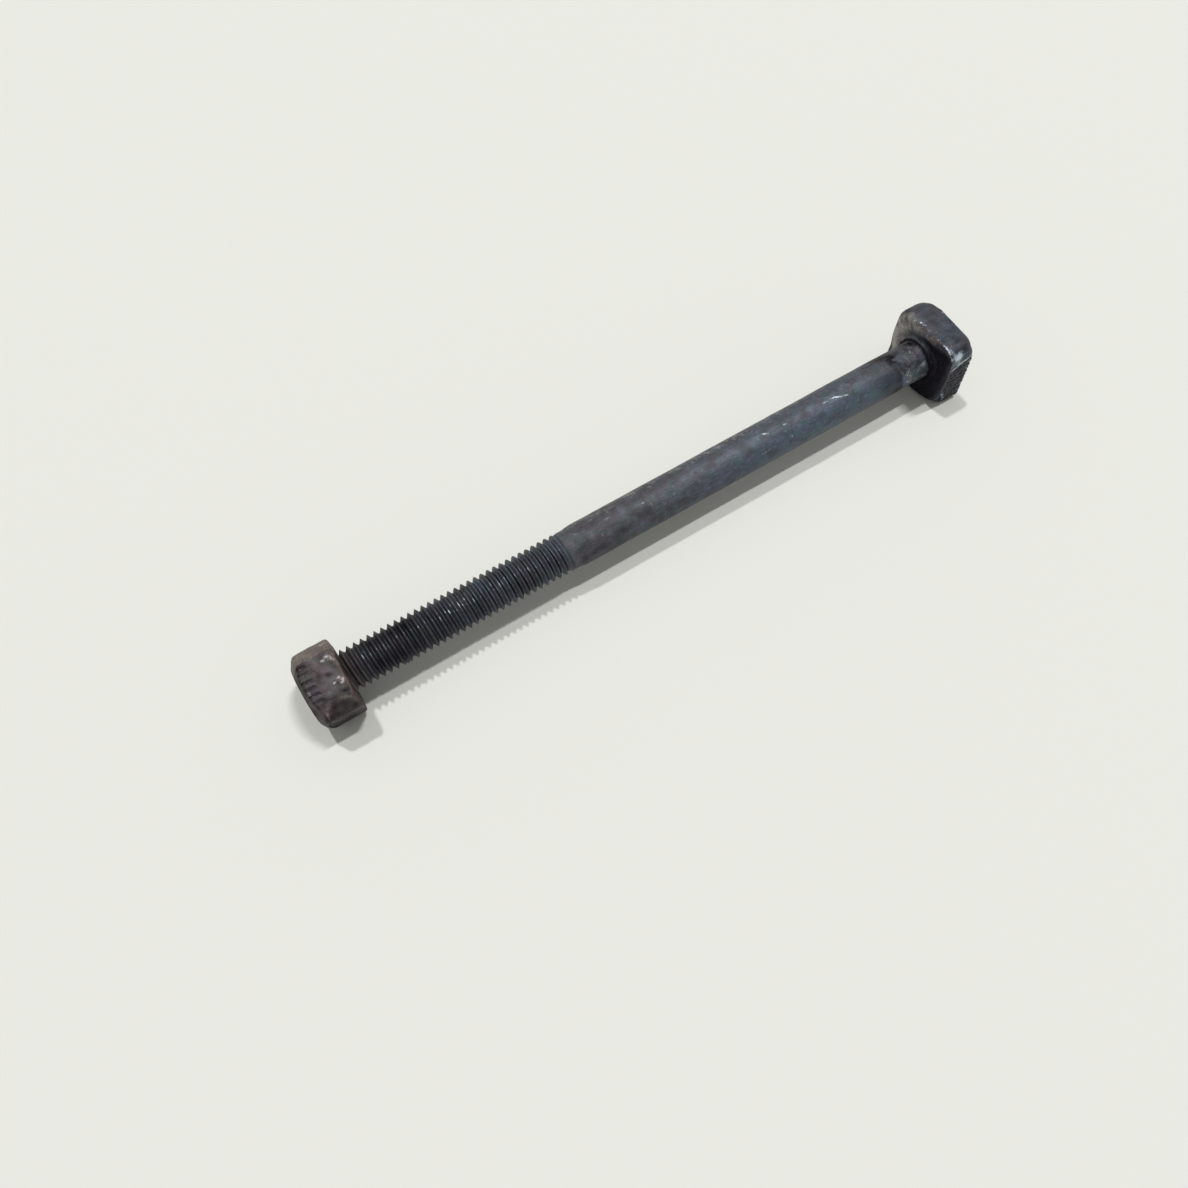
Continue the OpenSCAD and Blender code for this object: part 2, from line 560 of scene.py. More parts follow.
def head_corners(angle, outline_r):
    """The bends of the head's profile in each direction, as (x, radius), from the neck to the
    rim of the outer face. The inner face is flat out to face_r and then falls away to its edge."""
    directions = [-135, -90, -40, 0, 24, 35, 47, 60, 90, 112, 128, 138, 150, 162, 180]
    reach = [7.6, 6.9, 7.4, 7.8, 8.6, 10.2, 12.6, 10.3, 9.0, 9.4, 10.2, 10.4, 9.8, 9.3, 8.9]
    face_r = np.minimum(by_angle(angle, directions, reach), outline_r - 0.6)
    bends = [
        (HEAD_IN_X - 1.3, 4.75),
        (HEAD_IN_X - 0.12, 4.86),
        (HEAD_IN_X - 0.02, 5.02),
        (HEAD_IN_X - 0.26, 5.35),
        (HEAD_IN_X - 0.02, 6.3),
        (HEAD_IN_X, face_r),
        (HEAD_IN_X + edge_drop(angle), outline_r),
        (HEAD_OUT_X, outline_r),
        (HEAD_OUT_X, 4.2),
    ]
    return bend_table(bends, len(angle))


corners = head_corners(head_angle, head_outline_r)
one = np.ones(HEAD_COLUMNS)
pillow = by_angle(
    head_angle,
    [-135, -90, -60, -45, -30, -18, 0, 30, 46, 54, 60, 67, 130, 142],
    [1.6, 1.8, 2.7, 2.9, 1.7, 0.6, 1.1, 2.0, 3.0, 2.0, 1.0, 0.2, 0.2, 1.2],
)
inner_edge = by_angle(
    head_angle,
    [-90, -60, -30, 0, 40, 90, 115, 135, 150, 180],
    [0.9, 2.2, 1.6, 0.35, 0.4, 0.3, 0.5, 1.4, 0.8, 0.3],
)
rounding = np.stack([0.08 * one, 0.08 * one, 0.1 * one, 0.3 * one, 0.2 * one, inner_edge, pillow])
profile_x, profile_r = rounded_profile(corners, rounding, 5, [3, 2, 2, 3, 3, 8, 20, 6])
print("head profile rows", len(profile_x))

# %% Wrench scoring, hammered flats and the head's rings
SCORE_PITCH, SCORE_DEPTH = 1.33, 0.24
CROSS_PITCH, CROSS_DEPTH = 1.05, 0.2


def score_line(x):
    """Height above the axis up to which the front flat is scored: a line that rises outwards."""
    return 3.1 + 0.45 * (x - 78.3)


def score_front_flat(x, radius, angle):
    """How deep the jaw teeth bit into the front flat: sharp grooves one pitch apart up the flat,
    crossed by slanting ones, below the score line and away from the inner bevel. A groove's
    depth is the third power of a zigzag, so the metal between grooves stays wide."""
    front = radius * np.sin(angle)
    height = radius * np.cos(angle)
    uneven = lumps(place(x, radius, angle), 2.2, 31)
    tooth = 1 - np.abs(2 * (((height + 0.25 * uneven) / SCORE_PITCH) % 1) - 1)
    cross = 1 - np.abs(2 * (((x + 0.35 * height + 0.2 * uneven) / CROSS_PITCH) % 1) - 1)
    upper_edge = score_line(x) + 0.25 * uneven
    marked = smooth_step(upper_edge - height, -0.1, 0.5) * smooth_step(height, -9.2, -8.2)
    marked = marked * smooth_step(x, HEAD_IN_X + 1.0, HEAD_IN_X + 1.7)
    on_front = smooth_step(front, 6.6, 8.2)
    grooves = SCORE_DEPTH * tooth**3 + CROSS_DEPTH * cross**3
    return grooves * marked * on_front * (0.85 + 0.25 * uneven).clip(0)


def hammered(x, radius, angle):
    """Forging unevenness of the head, always inwards: broad dishes and finer pits."""
    points = place(x, radius, angle)
    broad = 0.028 * (1.3 + lumps(points, 7, 32)).clip(0)
    fine = 0.012 * (1 + lumps(points, 1.9, 33)).clip(0)
    on_front = smooth_step(radius * np.sin(angle), 7, 9)
    return (broad + fine) * smooth_step(radius, 6.9, 8.0) * (1 - 0.8 * on_front)


angle_table = np.broadcast_to(head_angle, profile_x.shape)
profile_r = profile_r - score_front_flat(profile_x, profile_r, angle_table)
profile_r = profile_r - hammered(profile_x, profile_r, angle_table)
dish = 0.05 * lumps(place(profile_x, profile_r, angle_table), 3.2, 34).clip(-1, 1)
profile_x = profile_x + dish * smooth_step(profile_r, 5.6, 6.6) * (profile_x < HEAD_IN_X + 1)
struck = 0.06 * (1 + lumps(place(profile_x, profile_r, angle_table), 5, 35)).clip(0)
profile_x = profile_x - struck * fall_off(profile_r, 6.5, 8.5) * (profile_x > HEAD_OUT_X - 1)
head_rings = bolt_skin.add(place(profile_x, profile_r, angle_table))

# %% Joining shank and head, and closing the outer face
half_x = np.array([HEAD_IN_X - 2.3, HEAD_IN_X - 1.9])
half_angle = head_angle[::2]
half_rings = bolt_skin.add(shank_points(half_x, half_angle))
full_x = np.array([HEAD_IN_X - 1.6])
full_rings = bolt_skin.add(shank_points(full_x, head_angle))
bolt_skin.join(shank_rings[-1], half_rings[0])
bolt_skin.join_all(half_rings)
bolt_skin.join(half_rings[-1], full_rings[0])
bolt_skin.join(full_rings[-1], head_rings[0])
bolt_skin.join_all(head_rings)
face_ring_192 = bolt_skin.add(place(HEAD_OUT_X, 3.4, half_angle))
face_ring_96 = bolt_skin.add(place(HEAD_OUT_X, 2.6, shank_angle))
face_ring_48 = bolt_skin.add(place(HEAD_OUT_X, 1.4, shank_angle[::2]))
bolt_skin.join(head_rings[-1], face_ring_192)
bolt_skin.join(face_ring_192, face_ring_96)
bolt_skin.join(face_ring_96, face_ring_48)
bolt_skin.close(face_ring_48, (HEAD_OUT_X, 0, AXIS_Z), False)
bolt, bolt_points = bolt_skin.to_object("threaded_bolt")

# %% [markdown]
# ## The nut
#
# The nut is a square one, with a real thread inside. A thirty degree chamfer turns its corners
# back on the outer face, and the face towards the head keeps nearly its whole square. The corners
# were cut off flat and then worn a little round. It stands slightly turned against the head. Six
# short bars, side by side on its upper flat, are the prints of a pipe wrench's teeth. The hole was
# punched six tenths of a millimetre off the middle of the square, as it often is in such nuts.
#
# A block with a hole cut through it would be the first idea. A profile carried round the hole gives
# the same form without a cut, and its rows already run along the chamfer and the bore.

# %% The nut's profile in each direction
NUT_FLATS = 15.875
NUT_CORNER_R = 3.1
NUT_FACETS = (0.3, 0.6, 0.6, 0.6)
NUT_TURN = math.radians(17.5)
NUT_COLUMNS = 480
SQUARE_OFF_HOLE = np.array([0, -0.51, -0.33])
PRINT_DEPTH = 0.16
PRINTS = [(-3.87, 1), (-2.45, 0.8), (-0.73, 1), (0.78, 0.9), (2.4, 0.7), (3.8, 0.8)]
OUTER_END_X = NUT_OUT_X + 0.35
BEARING_END_X = NUT_IN_X + 0.2
OUTER_FACE_R = 12.9 / 2
BEARING_FACE_R = 17.4 / 2
MOUTH_R = 5.28
CHAMFER = math.tan(math.radians(30))
nut_outline_r, nut_angle = square_outline(NUT_FLATS, [NUT_CORNER_R] * 4, NUT_FACETS, NUT_COLUMNS)
nut_angle = nut_angle + NUT_TURN

one = np.ones(NUT_COLUMNS)
bearing_r = np.minimum(BEARING_FACE_R, nut_outline_r - 0.35)
nut_bends = [
    (OUTER_END_X, MOUTH_R),
    (OUTER_END_X, OUTER_FACE_R),
    (OUTER_END_X + (nut_outline_r - OUTER_FACE_R) * CHAMFER, nut_outline_r),
    (BEARING_END_X - (nut_outline_r - bearing_r) * CHAMFER, nut_outline_r),
    (BEARING_END_X, bearing_r),
    (BEARING_END_X, MOUTH_R),
]
nut_corner_table = bend_table(nut_bends, NUT_COLUMNS)
nut_rounding = np.stack([0.3 * one, 0.6 * one, 0.25 * one, 0.25 * one])
nut_x, nut_r = rounded_profile(nut_corner_table, nut_rounding, 5, [3, 6, 34, 5, 4])
print("nut profile rows", len(nut_x))

# %% Wrench prints and wear on the nut
def wrench_prints(x, radius, angle):
    """Depth of six bars pressed into the upper flat. Each is a rounded trough that runs from near
    the outer edge inwards, and they stand side by side across the flat, about a tooth apart."""
    turned = angle - NUT_TURN
    across = radius * np.sin(turned)
    outward = radius * np.cos(turned)
    depth = np.zeros_like(x)
    for centre, strength in PRINTS:
        depth += strength * bell(across, centre, 0.22)
    into = x - NUT_OUT_X
    run = between(into, 0.9, 1.5, 3.3, 4.2)
    return PRINT_DEPTH * depth * run * (outward > 5)


nut_angle_table = np.broadcast_to(nut_angle, nut_x.shape)
nut_points_guess = place(nut_x, nut_r, nut_angle_table)
battered = 0.05 * (1.2 + lumps(nut_points_guess, 5, 41)).clip(0)
battered = battered + 0.02 * (1 + lumps(nut_points_guess, 1.6, 42)).clip(0)
battered = battered * smooth_step(nut_r, 6.6, 7.4)
nut_r = nut_r - battered - wrench_prints(nut_x, nut_r, nut_angle_table)

# %% The nut's own thread and its skin
nut_offsets = [0, 0.10, 0.16, 0.35, 0.54, 0.62, 0.79375]
nut_offsets += [PITCH - d for d in nut_offsets[-2:0:-1]]


def nut_thread_radius(x, angle):
    """The bolt's flanks moved out by 0.09 mm each way along the axis, cut off at the root and
    at the crest, and opened by a 45 degree countersink at both mouths."""
    thread = SHARP_R + 0.09 / FLANK - np.abs(past_crest(x, angle)) / FLANK
    thread = np.clip(thread, 4.0, 4.82)
    return np.maximum(thread, MOUTH_R - np.minimum(x - OUTER_END_X, BEARING_END_X - x))


nut_skin = Skin()
bore_angle = nut_angle[::4]
bore_out_ring, bore_in_ring = add_thread(
    nut_skin, bore_angle, OUTER_END_X + 0.02, BEARING_END_X - 0.02, nut_offsets, nut_thread_radius, True
)
nut_surface = place(nut_x, nut_r, nut_angle_table)
nut_surface += SQUARE_OFF_HOLE * smooth_step(nut_r, 5.35, 6.35)[..., None]
nut_rings = nut_skin.add(nut_surface)
lip_out = nut_skin.add(place(OUTER_END_X, MOUTH_R + 0.02, nut_angle[::2]))
lip_in = nut_skin.add(place(BEARING_END_X, MOUTH_R + 0.02, nut_angle[::2]))
nut_skin.join(bore_out_ring, lip_out)
nut_skin.join(lip_out, nut_rings[1])
nut_skin.join_all(nut_rings[1:-1])
nut_skin.join(nut_rings[-2], lip_in)
nut_skin.join(lip_in, bore_in_ring)
nut, nut_points = nut_skin.to_object("square_nut")

# %% [markdown]
# ## Where dirt, rust, bright metal and painted light lie
#
# Both pieces are blackened steel, and most of their look is what happened to it later: oil and
# dirt in the thread, a dark disc under the head with a tan rim outside it, a brown film by the nut,
# and bright metal where an edge was rubbed. The same maps also carry painted shade, on shaded sides,
# in the crease and under things, and painted light, highlights and glints where the lamps reflect.
# Each of these is a map with one number for each point of the mesh. It is worked out from where the
# point lies and kept in the mesh as an attribute, so that the shader only has to break up its edges
# with fine noise.

# %% Keeping a map in the mesh
def keep_map(piece, name, values):
    """Stores one number for each point, between 0 and 1, under a name that the shader reads."""
    layer = piece.data.attributes.new(name, "FLOAT", "POINT")
    layer.data.foreach_set("value", np.clip(values, 0, 1).astype(np.float32))


def spots(u, v, marks):
    """Soft oval spots on a surface laid out flat as u and v in mm: the sum of strength times
    e to the minus squared distance, where each mark is (u, v, length, width, slant, strength)."""
    total = np.zeros_like(u)
    for mark_u, mark_v, length, width, slant, strength in marks:
        c, s = math.cos(math.radians(slant)), math.sin(math.radians(slant))
        du, dv = u - mark_u, v - mark_v
        total += strength * np.exp(-(((du * c + dv * s) / length) ** 2) - ((dv * c - du * s) / width) ** 2)
    return total


def measures(points):
    """x, distance from the axis, and angle in degrees from straight up, for points in mm."""
    front, up = -points[:, 1], points[:, 2] - AXIS_Z
    return points[:, 0], np.hypot(front, up), np.degrees(np.arctan2(front, up))


# %% [markdown]
# ## Dirt, rust, wear and painted light on the thread and the shank
#
# Oil and dirt gather in the roots of a thread and in the grip ring by the head, and nothing wipes
# them out. The thread's shaded flanks, the lower and under side of the shank and the crease under
# the head are painted darker as painted shade, and bands on the crests, roots and upper side of the
# shank carry painted highlights where the lamps reflect, among a few real scratches. Painting this by
# hand on the mesh would work too, but formulas on x and angle stay sharp at any mesh size and are easy
# to change. Single scratches, stains and highlights are placed one by one, on the skin laid out flat.
# How long an angle is there depends on how far out it lies, so the shank uses its own radius.
# FACE_ARC is a degree's length in mm on the head's inner face and the nut's corner, and CORNER_ARC is
# the same at the head's corner.

# %% Where each point of the bolt lies
x, radius, degrees = measures(bolt_points)
angle = np.radians(degrees)
wave_6 = lumps(bolt_points, 6, 51)
wave_3 = lumps(bolt_points, 3, 52)
wave_1 = lumps(bolt_points, 1.3, 53)
along_skin = angle * SHANK_R
FACE_ARC, CORNER_ARC = 0.16, 0.21
on_thread = fall_off(x, -23.0, -20.5)
on_shank = between(x, -21.5, -18.5, 76.2, 76.5)
on_neck = smooth_step(x - neck_line(angle), -0.3, 0.5) * on_shank
for name, part in (("thread", on_thread), ("shank", on_shank), ("neck", on_neck)):
    print("points on the", name, int((part > 0.5).sum()))

# %% Dirt and painted shade in the thread
root_depth = fall_off(radius, 4.05, 4.62)
near_black = bell(x, -62, 10)
past = past_crest(x, angle)
far_half = smooth_step(x, -57, -46)
shaded_flank = between(past, 0.04, 0.18, 0.68, 0.8)
thread_grime_and_shade = 0.15 + 0.3 * near_black + 0.36 * root_depth * (1 - 0.85 * far_half)
# shaded_flank is painted shade: from the middle of the thread on, the flank on the head's side of each
# crest is made darker, as it lies in shade.
thread_grime_and_shade = thread_grime_and_shade + (0.45 + 0.35 * smooth_step(x, -45, -36)) * shaded_flank * far_half
thread_grime_and_shade = thread_grime_and_shade + 0.1 * wave_6 - 0.12 * smooth_step(x, -45, -36)
on_tip = fall_off(x, TIP_X + 0.2, TIP_X + 0.4) * fall_off(radius, 3.5, 3.7)
thread_grime_and_shade = on_thread * (thread_grime_and_shade * (1 - on_tip) + on_tip * np.clip(0.3 + 0.2 * wave_1, 0, 1))
print("dirt on the thread", round(float(thread_grime_and_shade[on_thread > 0.5].mean()), 2))

# %% Dirt and painted shade on the shank and round the neck
neck_ring = spots(x, along_skin, [
    (66.7, -2.3, 2.3, 1.1, 18, 0.85), (66.2, -4.6, 1.8, 1.6, 0, 0.8), (68.0, -1.2, 1.2, 1.0, 0, 0.45),
    (67.3, 0.7, 0.9, 1.2, -15, 0.42), (68.6, 2.2, 0.9, 1.1, -15, 0.6), (69.6, 0.2, 1.6, 1.5, 0, 0.4),
    (68.7, 3.9, 0.8, 1.3, 0, 0.4), (67.7, 5.1, 0.7, 0.8, 0, 0.22), (67.6, 8.1, 1.4, 0.9, 0, 0.6),
    (74.6, -1.8, 1.6, 1.0, 0, 0.6), (73.8, 3.0, 0.6, 0.6, 0, 0.35), (70.8, -2.0, 0.8, 0.6, 0, 0.25),
]) * (0.9 + 0.15 * wave_1 + 0.1 * wave_3)
near_neck = smooth_step(x, 60, 65) * (1 - on_neck)
# Painted shade: the shank is made darker on its lower front side, most near the neck and around the middle,
# and all along its under side, where the lamps from above don't reach. Near the neck this also holds a
# stain.
low_side_dirt_and_shade = 0.65 * smooth_step(degrees, 5, 60) * near_neck + 0.5 * smooth_step(x, 59, 64) * (1 - on_neck)
low_side_dirt_and_shade = low_side_dirt_and_shade + 0.3 * smooth_step(degrees, 40, 70) * bell(x, 18, 18)
under_side_shade = smooth_step(np.abs(degrees), 70, 140) * 0.3
plain_side = 0.22 * fall_off(x, -10, 25) * (0.3 + 0.7 * smooth_step(degrees, -25, 0))
shank_grime_and_shade = on_shank * (neck_ring + 0.45 * low_side_dirt_and_shade + under_side_shade + plain_side * (1 + 0.5 * wave_3))
# Painted light: the neck's lower front gets less grime, against the shade that the head throws there.
neck_front = between(degrees, 25, 70, 115, 150)
shank_grime_and_shade = shank_grime_and_shade + on_neck * (0.3 - 0.3 * neck_front + 0.2 * wave_3 + 0.12 * wave_1)
# Painted shade: the crease where the neck meets the head's inner face is made dark.
crease_shade = bell(x, 76.35, 0.28) * (radius < 5.2)
print("dirt on the shank", round(float(shank_grime_and_shade[on_shank > 0.5].mean()), 2))

# %% Rust on the thread, and painted highlights on its crests and roots
first_turns = np.clip(1.2 - (x - NUT_IN_X) / 5.5, 0, 1) * smooth_step(x, NUT_OUT_X, NUT_IN_X)
thread_rust = on_thread * (0.8 * first_turns + 0.3 * np.clip(wave_6 + 0.3 * wave_3 - 0.7, 0, 1))
thread_rust = thread_rust + on_tip * np.clip(0.6 + 0.4 * wave_3, 0, 1)
# Painted highlights: crests, and from the middle on the roots too, are made bright only in a band about 17
# degrees round from the top, where the lamps reflect. The listed spots are single painted highlights on
# crests.
highlight_band = smooth_step(radius, 4.55, 4.66) + smooth_step(np.abs(past), 0.6, 0.76) * far_half
highlight_band = highlight_band * bell(degrees, 17, 13)
middle_run = bell(x, -47, 11)
crest_highlights = np.clip(0.1 + 0.25 * wave_1, 0, 0.35) + middle_run * np.clip(0.2 + 0.4 * wave_1, 0, 0.6)
crest_highlight_spots = spots(x, along_skin, [
    (-69.9, 1.1, 0.3, 0.45, 0, 0.65), (-73.7, 1.3, 0.4, 0.6, 0, 0.45), (-62.2, 1.1, 0.4, 0.6, 0, 0.4),
])
crest_highlights = on_thread * (highlight_band * crest_highlights + smooth_step(radius, 4.4, 4.6) * crest_highlight_spots)
print("rust on the thread", round(float(thread_rust[on_thread > 0.5].mean()), 2))

# %% Scuffs and painted highlights along the shank
# Partly scuffs, partly painted light: the streaks about 1 mm round the skin sit in the lamps' highlight
# band and are painted highlights among scratches, the long thin ones near 4.6 mm are a painted reflection
# of a bright line low in front, and the rest are scuffs.
scuffs_and_highlights = spots(x, along_skin, [
    (52.6, 1.85, 1.5, 0.16, 16, 0.9), (50.6, 1.2, 1.0, 0.2, 14, 0.8), (47.5, 1.0, 1.4, 0.2, 6, 0.6),
    (43.5, 0.95, 1.6, 0.2, 4, 0.5), (36.4, 1.0, 0.9, 0.25, 0, 0.5), (31.2, 0.85, 1.0, 0.2, 20, 0.7),
    (20.8, 1.1, 0.8, 0.3, 0, 0.45), (29.4, 4.6, 2.6, 0.13, 0, 0.42), (51.6, 4.7, 2.6, 0.12, 0, 0.42),
    (37.5, 4.5, 1.2, 0.13, 8, 0.4), (-10.4, 0.4, 0.8, 0.25, 0, 0.5), (-2.0, 1.2, 0.7, 0.25, 20, 0.5),
    (-18.8, 0.0, 0.7, 0.35, 0, 0.3), (5.0, 3.3, 0.35, 0.25, 0, 0.4), (12.8, 3.2, 0.5, 0.2, -20, 0.4),
    (74.9, 4.3, 0.7, 0.5, -20, 0.7), (73.9, 4.4, 0.5, 0.3, 0, 0.4), (73.3, 0.2, 0.4, 0.5, 0, 0.5),
    (74.3, 0.6, 0.7, 0.5, 0, 0.3), (68.9, 5.8, 0.3, 1.5, 0, 0.36), (69.9, 6.0, 0.45, 2.0, 0, 0.36),
    (70.6, 3.9, 0.6, 1.3, 0, 0.28), (70.6, 7.5, 1.3, 0.9, 0, 0.36), (75.5, 4.7, 0.5, 0.7, 0, 0.5),
])
print("brightest scuff", round(float(scuffs_and_highlights.max()), 2))

# %% [markdown]
# ## Dirt, dust, wear and painted light on the head
#
# The inner face is dark in a disc round the neck, with a tan rim outside it. Towards the bottom and
# the front the rim is painted darker, as painted shade, and a ring next to the neck is painted
# lighter, as painted light. The sides are darker. Their edges are bright in places, partly worn
# metal and partly painted highlights, most of all the painted glint at the front top corner. The
# dark disc isn't round, so its edge is given as a distance for a few directions, and the rest is
# measured from that edge.

# %% Maps of the head's inner face
on_head = smooth_step(x, 76.0, 76.3) * smooth_step(radius, 4.9, 5.0)
side, height = radius * np.sin(angle), radius * np.cos(angle)
directions = [-150, -125, -102, -85, -40, 0, 24, 35, 47, 60, 90, 135]
dark_edge = by_angle(angle, directions, [12, 7.2, 6.3, 6.5, 6.8, 7.5, 8.7, 9.9, 13, 12.5, 13, 13])
on_inner = on_head * fall_off(x, 77.0, 77.6)
inner_dark = on_inner * fall_off(radius - 0.12 * wave_1, dark_edge - 1.2, dark_edge + 1.0)
inner_dark = inner_dark * (1 - 0.3 * bell(degrees, -72, 30))
# Painted light: a ring next to the neck, on its upper side, is made lighter, with less grime and some dust,
# as a raised collar that catches the light.
annulus = bell(radius, 5.7, 0.7)
annulus = annulus * between(degrees, -100, -50, 5, 55)
lit_part = on_inner * (1 - inner_dark)
towards_top = between(degrees, -140, -115, 5, 40)
tan_patches = 0.42 + 0.12 * wave_3 + 0.1 * wave_1 + 0.8 * smooth_step(-degrees, 25, 95)
front_share = smooth_step(degrees, 10, 50)
face_patches = spots(FACE_ARC * degrees, radius, [
    (-12.2, 7.0, 1.6, 0.5, 0, 0.3), (-8.2, 9.3, 1.8, 0.5, 0, 0.3), (-3.6, 9.1, 0.9, 0.6, 0, 0.2),
    (-1.5, 8.8, 0.8, 0.5, 0, 0.2), (2.2, 8.6, 0.8, 0.4, 0, 0.2), (4.2, 9.6, 0.6, 0.4, 0, 0.35),
    (-6.5, 8.0, 1.2, 0.6, 0, -0.9), (-5.4, 10.3, 0.7, 0.4, 0, -0.3), (-8.6, 8.5, 0.8, 0.5, 0, -0.4),
    (-4.5, 9.8, 0.6, 0.4, 0, -0.4), (-9.4, 5.6, 1.4, 0.4, 0, -0.3),
])
head_grime_and_shade = inner_dark * (1 - 0.95 * annulus - 0.08 * front_share) + lit_part * face_patches
# Painted shade: towards the bottom and the front, the rim outside the dark disc is made darker, as it lies
# in shade there.
head_grime_and_shade = head_grime_and_shade + lit_part * 0.55 * (1 - towards_top)
print("dark part of the head's inner face", round(float(inner_dark[on_inner > 0.5].mean()), 2))

# %% Dirt on the head's sides
on_sides = on_head * smooth_step(x, 76.9, 77.6)
on_front = smooth_step(side, 7.0, 8.4) * on_head
past_bevel = smooth_step(x, 77.6, 78.2)
below_line = score_line(x) - height
scored = on_front * smooth_step(below_line, -0.3, 0.4) * past_bevel
bite = np.clip(score_front_flat(x, radius, angle) / 0.3, 0, 1)
past_edge = x - HEAD_IN_X - edge_drop(angle)
front_band = between(past_edge, 0.0, 0.25, 0.8, 1.6)
front_band = front_band * on_front * fall_off(height, 2.5, 4)
top_patches = spots(x, side, [
    (79.6, -4.8, 1.6, 1.8, 0, 0.12), (79.9, 6.6, 1.6, 0.7, 0, 0.4), (81.8, 2.3, 1.4, 0.8, 0, -0.25),
    (80.0, 0.3, 1.2, 1.2, 0, 0.14), (77.3, -5.7, 1.0, 1.6, 0, -0.3), (80.0, -6.7, 4.0, 0.9, 0, -0.35),
    (78.3, 0.4, 0.5, 1.6, 0, -0.3), (79.4, -1.6, 1.0, 0.8, 0, 0.14), (82.3, 7.3, 1.2, 0.8, 0, 0.25),
    (79.0, -3.5, 0.8, 1.2, 0, 0.16),
]) * smooth_step(height, 5, 8)
side_grime = 0.42 + 0.08 * wave_3 + 0.07 * wave_6 + top_patches
side_grime = side_grime - 0.25 * front_band * smooth_step(-height, 0, 4)
head_grime_and_shade = head_grime_and_shade + on_sides * (1 - scored) * side_grime
head_grime_and_shade = head_grime_and_shade + scored * (0.76 + 0.24 * bite)
print("scored part of the head", round(float((scored > 0.5).mean()), 3), "of the bolt's points")

# %% Bright metal and painted highlights on the head's edges and corners
# The edge line and the bright spots are partly worn metal and partly painted highlights, where the lamps
# reflect off the rounded top edge and corner.
edge_line = bell(past_edge, 0.2, 0.15) * on_head * smooth_step(radius, 8.6, 9.2)
edge_line = edge_line * (0.22 + 0.42 * smooth_step(degrees, 18, 32)) * smooth_step(degrees, -17, -12)
edge_line = edge_line * fall_off(degrees, 48, 56) * np.clip(0.75 + 0.4 * wave_1, 0, 1)
bright_spots = spots(x, side, [
    (77.45, 6.7, 0.28, 1.1, 0, 0.5), (78.5, 5.9, 0.5, 0.25, 30, 0.4), (77.9, 7.6, 0.3, 0.5, 0, 0.4),
    (77.8, -1.6, 0.22, 0.5, 0, 0.75), (77.55, -2.6, 0.22, 0.5, -20, 0.8), (77.1, -5.9, 0.35, 0.4, 0, 0.45),
    (77.9, 3.2, 0.25, 0.8, 0, 0.35),
])
# corner_glint is a painted highlight: a bright glint with a wide halo on the front top corner.
corner_glint = on_head * spots(x, CORNER_ARC * degrees, [
    (79.2, 10.7, 0.9, 0.85, 0, 1.0), (79.2, 10.9, 2.2, 2.3, 0, 0.42), (80.2, 12.9, 2.2, 0.45, 0, 0.3),
    (77.9, 10.0, 0.4, 0.9, 0, 0.3),
])
score_edge = bell(below_line, -0.55, 0.32) * on_front * past_bevel
outer_rim = on_sides * smooth_step(x, 83.0, 83.6) * smooth_step(radius, 7.5, 9.3)
outer_rim = 0.14 * outer_rim * np.clip(1 + wave_1, 0, 2)
head_wear_and_highlights = edge_line + bright_spots * on_head * smooth_step(height, 3, 6) + 0.72 * score_edge
head_wear_and_highlights = head_wear_and_highlights + corner_glint + outer_rim + 0.08 * scored * (1 - bite) * np.clip(0.6 + wave_1, 0, 1)
band_wear = 0.04 + 0.08 * wave_1 + 0.26 * smooth_step(-height, 2, 5)
head_wear_and_highlights = head_wear_and_highlights + front_band * np.clip(band_wear, 0, 1)
print("brightest wear on the head", round(float(head_wear_and_highlights.max()), 2))

# %% The bolt's maps go into its mesh
towards_front = smooth_step(degrees, 5, 50)
coolness = on_shank * smooth_step(x, -14, 34) * (0.42 + 0.58 * towards_front)
coolness = coolness * (1 - smooth_step(x, 58, 66) * (0.55 - 0.4 * towards_front + 0.2 * on_neck))
coolness = coolness + 0.4 * on_thread * smooth_step(x, -66, -50)
coolness = coolness + 0.4 * on_sides * (1 + 0.5 * wave_6) * (0.3 + 0.7 * smooth_step(side, -4, 0))
coolness = coolness + 0.5 * annulus * on_inner
# The grime map also carries painted shade: the thread's shaded flanks, the shank's lower and under side,
# the crease under the head and the lower rim of the inner face.
keep_map(bolt, "grime", thread_grime_and_shade + shank_grime_and_shade + head_grime_and_shade + crease_shade)
keep_map(bolt, "rust", thread_rust + lit_part * np.clip(0.55 + 0.4 * wave_3, 0, 1))
back_dust = 0.4 * spots(x, side, [(77.2, -5.7, 0.9, 1.5, 0, 1.0)]) * smooth_step(height, 5, 8) * on_sides
neck_dust = (0.12 + 0.07 * neck_front) * on_neck * np.clip(1 + wave_3, 0, 2)
shank_dust = 0.24 * on_shank * fall_off(x, 20, 55) * smooth_step(-degrees, 5, 40)
shank_dust = shank_dust * fall_off(-degrees, 90, 130) * np.clip(1 + 0.4 * wave_3, 0, 2)
face_dust_and_light = towards_top * np.clip(tan_patches - 0.8 * face_patches, 0, 1)
# The ring next to the neck also gets dust here, as painted light.
face_dust_and_light = lit_part * face_dust_and_light + 0.2 * on_inner * annulus * fall_off(np.abs(degrees), 20, 50)
keep_map(bolt, "dust_and_painted_light", face_dust_and_light + neck_dust + shank_dust + back_dust)
# The worn map also carries painted highlights: on crests and roots, along the shank, and on the head's
# edges and front top corner.
keep_map(bolt, "worn", crest_highlights + scuffs_and_highlights * on_shank + head_wear_and_highlights)
keep_map(bolt, "cool", coolness)
print("bolt maps kept for", len(x), "points")

